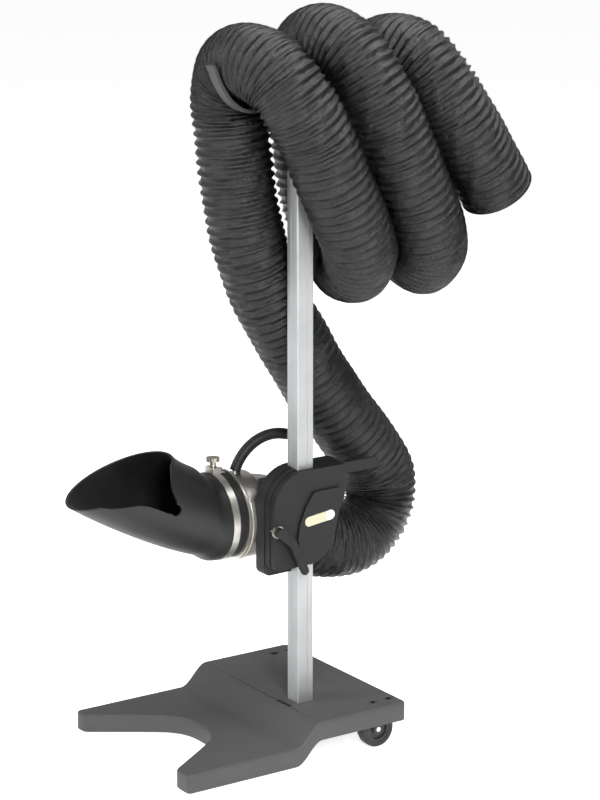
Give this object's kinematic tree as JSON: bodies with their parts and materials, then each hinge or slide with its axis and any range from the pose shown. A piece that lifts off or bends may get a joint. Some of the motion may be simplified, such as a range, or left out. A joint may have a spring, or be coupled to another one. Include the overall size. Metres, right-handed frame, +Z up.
{
  "type": "hose nozzle floor stand",
  "caption": "Wheeled floor stand with a square post, a sliding clamp carriage, a swivelling black rubber scoop nozzle on a steel duct, and a corrugated hose looped over a top hanger.",
  "frame": {"origin": "on the floor, on the middle line of the base, about halfway between its prong tips and its rear edge", "axes": "+Z up along the post, -Y towards the nozzle mouth and the prong tips, +X towards the cover side of the carriage"},
  "size_m": [0.3788, 0.7495, 1.177],
  "materials": {
    "base_plastic": "satin moulded grey",
    "black_plastic": "fine moulded texture",
    "dark_bolt": "black oxide",
    "ballast_steel": "grey paint",
    "zinc_steel": "zinc plated",
    "stainless": "brushed stainless",
    "warm_steel": "nickel plated",
    "aluminium": "natural anodised",
    "hanger_paint": "grey powder coat",
    "soft_rubber": "satin",
    "foot_rubber": "matte",
    "tyre": "matte",
    "hub_plastic": "moulded",
    "liner_plastic": "smooth",
    "brake_pad": "matte",
    "badge": "pale, no text",
    "hose_fabric": "coated woven fabric over a wire helix"
  },
  "bodies": {
    "stand": {"base_shell": "base_plastic", "ballast_plate": "ballast_steel", "deck_bolts": "dark_bolt", "front_feet": "foot_rubber", "axle_brackets": "zinc_steel", "axle_bolts": "zinc_steel", "post": "aluminium", "post_socket": "black_plastic", "post_latch": "black_plastic", "socket_bolts": "zinc_steel", "post_cap": "black_plastic", "hose_hanger": "hanger_paint", "hanger_screws": "zinc_steel", "hose": "hose_fabric"},
    "left_wheel": {"left_tyre": "tyre", "left_hub": "hub_plastic"},
    "right_wheel": {"right_tyre": "tyre", "right_hub": "hub_plastic"},
    "carriage": {"carriage_near_half": "black_plastic", "carriage_far_half": "black_plastic", "carriage_bolts": "dark_bolt", "cover_panel": "black_plastic", "badge": "badge", "glide_liners": "liner_plastic", "clamp_pad": "brake_pad", "support_arm": "black_plastic", "arm_bolts": "zinc_steel", "duct_bracket": "black_plastic", "duct_flange": "stainless", "duct_can": "stainless", "duct_elbow": "stainless", "handle_rod": "zinc_steel", "handle_grip": "soft_rubber", "hose_cuff": "soft_rubber", "hose_clamp": "zinc_steel"},
    "clamp_lever": {"lever_hub": "warm_steel", "lever_handle": "black_plastic"},
    "nozzle": {"nozzle": "soft_rubber", "band_clamp": "stainless", "band_bracket": "stainless", "band_bolt": "zinc_steel"},
    "thumb_screw": {"thumb_screw": "warm_steel"}
  },
  "joints": [
    {"name": "carriage_slide", "type": "slide", "parent": "stand", "child": "carriage", "axis": [0, 0, 1], "range_m": [-0.12, 0.12], "deforming": ["hose"]},
    {"name": "lever_turn", "type": "hinge", "parent": "carriage", "child": "clamp_lever", "pos_m": [0.095, 0.003, 0.364], "axis": [1, 0, 0], "range_deg": [-35, 55]},
    {"name": "nozzle_swivel", "type": "hinge", "parent": "carriage", "child": "nozzle", "pos_m": [-0.024, -0.042, 0.37], "axis": [0, 1, 0], "range_deg": [-90, 90]},
    {"name": "thumb_screw_turn", "type": "hinge", "parent": "nozzle", "child": "thumb_screw", "pos_m": [-0.024, -0.042, 0.455], "axis": [0, 0, 1], "continuous": true},
    {"name": "left_wheel_roll", "type": "hinge", "parent": "stand", "child": "left_wheel", "pos_m": [-0.1595, 0.146, 0.0295], "axis": [1, 0, 0], "continuous": true},
    {"name": "right_wheel_roll", "type": "hinge", "parent": "stand", "child": "right_wheel", "pos_m": [0.1595, 0.146, 0.0295], "axis": [1, 0, 0], "continuous": true}
  ]
}
